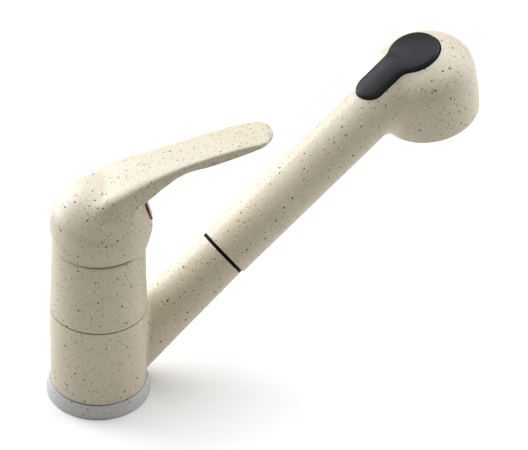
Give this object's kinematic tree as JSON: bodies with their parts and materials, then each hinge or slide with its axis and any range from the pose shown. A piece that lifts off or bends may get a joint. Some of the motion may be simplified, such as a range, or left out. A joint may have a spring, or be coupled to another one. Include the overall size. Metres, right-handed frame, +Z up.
{
  "type": "mixer tap",
  "caption": "Single-lever kitchen mixer tap with a swivelling spout, pull-out hand spray, rocker diverter button and a ceramic-disc cartridge in a speckled body.",
  "frame": {"origin": "middle of the base ring's underside, on the worktop", "axes": "+Z up along the column, +X along the spout as seen from above"},
  "size_m": [0.2388, 0.0651, 0.1529],
  "materials": {
    "granite": "beige granite-speckled coating, satin",
    "granite_shell": "beige granite-speckled moulding, satin",
    "ring_grey": "fine grey metallic speckle",
    "button": "charcoal satin plastic",
    "black_plastic": "black plastic",
    "seal": "black rubber",
    "nozzle": "dark grey soft nozzles",
    "plate": "grey plastic",
    "white_plastic": "white plastic",
    "grey_plastic": "grey plastic",
    "disc": "lapped ceramic",
    "brass": "turned brass",
    "steel": "turned steel",
    "chrome": "chromed",
    "marker": "red and blue marked plug"
  },
  "bodies": {
    "base": {"base_ring": "ring_grey", "base_seal": "seal", "mixer_body": "granite", "lower_glide_ring": "black_plastic", "upper_glide_ring": "black_plastic", "cartridge_seals": "seal", "cartridge_base": "grey_plastic", "fixed_disc": "disc", "cartridge_housing": "grey_plastic", "cartridge_nut": "brass", "cover_dome": "granite"},
    "spout": {"spout_body": "granite", "socket_bush": "black_plastic"},
    "turner": {"cartridge_rotor": "white_plastic", "stem_pin": "steel"},
    "disc": {"moving_disc": "disc", "disc_coupler": "white_plastic"},
    "lever": {"lever": "granite", "stem": "brass", "grub_screw": "steel", "indicator_plug": "marker"},
    "handset": {"handset_shell": "granite_shell", "handset_tail": "black_plastic", "inlet_washer": "seal", "check_valve": "white_plastic", "waterway": "white_plastic", "face_ring": "chrome", "spray_plate": "plate", "nozzle_mat": "nozzle", "aerator": "chrome", "diverter_block": "white_plastic", "rocker_pin": "steel"},
    "rocker": {"rocker_button": "button"},
    "diverter": {"diverter_plunger": "white_plastic", "plunger_seal": "seal"}
  },
  "joints": [
    {"name": "spout_swivel", "type": "hinge", "parent": "base", "child": "spout", "pos_m": [0, 0, 0.03], "axis": [0, 0, 1], "range_deg": [-70, 70]},
    {"name": "handset_pull", "type": "slide", "parent": "spout", "child": "handset", "axis": [0.809, 0, 0.5878], "range_m": [0, 0.4]},
    {"name": "rocker_press", "type": "hinge", "parent": "handset", "child": "rocker", "pos_m": [0.163, 0, 0.13696], "axis": [0, 1, 0], "range_deg": [0, 4]},
    {"name": "diverter_slide", "type": "slide", "parent": "handset", "child": "diverter", "axis": [0.2554, 0, -0.9668], "range_m": [0, 0.0013]},
    {"name": "temperature_turn", "type": "hinge", "parent": "base", "child": "turner", "pos_m": [0, 0, 0.0955], "axis": [0, 0, 1], "range_deg": [-50, 50]},
    {"name": "lever_lift", "type": "hinge", "parent": "turner", "child": "lever", "pos_m": [0, 0, 0.0955], "axis": [-0.3907, -0.9205, 0], "range_deg": [0, 20]},
    {"name": "disc_slide", "type": "slide", "parent": "turner", "child": "disc", "axis": [0.9205, -0.3907, 0], "range_m": [0, 0.0068]}
  ],
  "couplings": [
    {"joint": "diverter_slide", "follows": "rocker_press", "m_per_rad": 0.0174},
    {"joint": "disc_slide", "follows": "lever_lift", "m_per_rad": 0.0189}
  ]
}
